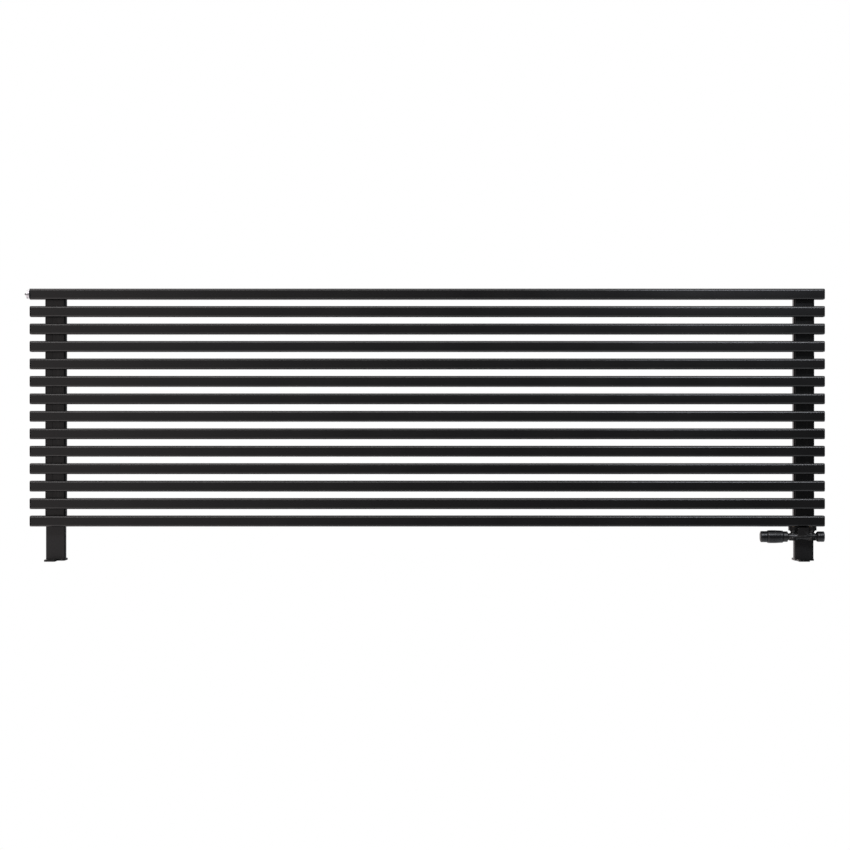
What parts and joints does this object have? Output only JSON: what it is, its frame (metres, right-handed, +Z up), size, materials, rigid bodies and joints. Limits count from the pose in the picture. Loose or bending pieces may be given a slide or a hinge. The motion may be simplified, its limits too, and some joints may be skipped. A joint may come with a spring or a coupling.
{
  "type": "horizontal radiator",
  "caption": "Long floor-standing hot-water radiator of level square bars on upright collectors, with a valve block and a thermostatic head below the right end.",
  "frame": {"origin": "on the floor, in the middle of the four anchor holes of the two feet", "axes": "+X along the bars towards the valve, +Y to the back, +Z up"},
  "size_m": [2.1992, 0.104, 0.749],
  "materials": {
    "powder_coat": "satin black powder coat",
    "valve_paint": "anthracite paint over cast brass",
    "black_plastic": "moulded anthracite plastic",
    "inner_plastic": "moulded plastic",
    "plain_steel": "plain steel",
    "black_screws": "black oxide",
    "brass": "turned",
    "seal_rubber": "moulded",
    "vent_chrome": "polished plating"
  },
  "bodies": {
    "radiator": {"bar_01": "powder_coat", "bar_02": "powder_coat", "bar_03": "powder_coat", "bar_04": "powder_coat", "bar_05": "powder_coat", "bar_06": "powder_coat", "bar_07": "powder_coat", "bar_08": "powder_coat", "bar_09": "powder_coat", "bar_10": "powder_coat", "bar_11": "powder_coat", "bar_12": "powder_coat", "bar_13": "powder_coat", "bar_14": "powder_coat", "bar_end_caps_left": "powder_coat", "bar_end_caps_right": "powder_coat", "bottom_bar_divider": "powder_coat", "bottom_bar_sockets": "plain_steel", "collector_end_plates": "powder_coat", "collector_left": "powder_coat", "collector_right": "powder_coat", "foot_plate_left": "powder_coat", "foot_plate_right": "powder_coat", "head_collar": "valve_paint", "head_core": "inner_plastic", "head_retainer": "plain_steel", "leg_left": "powder_coat", "leg_right": "powder_coat", "leg_screws": "black_screws", "leg_spigots": "plain_steel", "lockshield_insert": "brass", "lockshield_seal": "seal_rubber", "return_tail": "brass", "return_union_nut": "valve_paint", "supply_tail": "brass", "supply_union_nut": "valve_paint", "thermo_gland": "seal_rubber", "thermo_insert": "brass", "thermo_spring": "plain_steel", "thermo_spring_seat": "plain_steel", "union_gaskets": "seal_rubber", "valve_block": "valve_paint", "vent_body": "vent_chrome", "vent_end_cap": "powder_coat", "vent_gasket": "seal_rubber"},
    "temperature_grip": {"head_grip": "black_plastic", "head_tip": "black_plastic"},
    "sensor_group": {"head_carrier": "inner_plastic", "head_sensor": "brass", "head_overtravel_spring": "plain_steel", "head_pusher": "inner_plastic"},
    "valve_pin": {"thermo_pin": "brass", "thermo_washer": "seal_rubber"},
    "regulating_spindle": {"lockshield_spindle": "brass", "lockshield_clip": "plain_steel"},
    "regulating_disc": {"lockshield_disc": "brass"},
    "lock_cap": {"lockshield_cap": "black_plastic"},
    "vent_screw": {"vent_bleed_screw": "vent_chrome"},
    "vent_outlet": {"vent_swivel_collar": "vent_chrome"}
  },
  "joints": [
    {"name": "grip_turn", "type": "hinge", "parent": "radiator", "child": "temperature_grip", "pos_m": [0.96, -0.015, 0.067], "axis": [1, 0, 0], "range_deg": [-140, 140]},
    {"name": "sensor_travel", "type": "slide", "parent": "radiator", "child": "sensor_group", "axis": [1, 0, 0], "range_m": [-0.0012, 0.0012]},
    {"name": "pin_travel", "type": "slide", "parent": "radiator", "child": "valve_pin", "axis": [1, 0, 0], "range_m": [-0.0012, 0.0012], "deforming": ["thermo_spring"]},
    {"name": "regulating_turn", "type": "hinge", "parent": "radiator", "child": "regulating_spindle", "pos_m": [1.075, -0.015, 0.067], "axis": [-1, 0, 0], "range_deg": [-360, 360]},
    {"name": "regulating_disc_travel", "type": "slide", "parent": "radiator", "child": "regulating_disc", "axis": [-1, 0, 0], "range_m": [-0.001, 0.001]},
    {"name": "lock_cap_pull", "type": "slide", "parent": "radiator", "child": "lock_cap", "axis": [1, 0, 0], "range_m": [0, 0.03]},
    {"name": "vent_screw_turn", "type": "hinge", "parent": "radiator", "child": "vent_screw", "pos_m": [-1.097, -0.015, 0.734], "axis": [-1, 0, 0], "range_deg": [0, 450]},
    {"name": "vent_outlet_turn", "type": "hinge", "parent": "radiator", "child": "vent_outlet", "pos_m": [-1.1, -0.015, 0.734], "axis": [-1, 0, 0], "continuous": true}
  ],
  "couplings": [
    {"joint": "grip_turn", "follows": "sensor_travel", "rad_per_m": 2036.2},
    {"joint": "pin_travel", "follows": "sensor_travel", "ratio": 1},
    {"joint": "regulating_turn", "follows": "regulating_disc_travel", "rad_per_m": 6283.1}
  ]
}
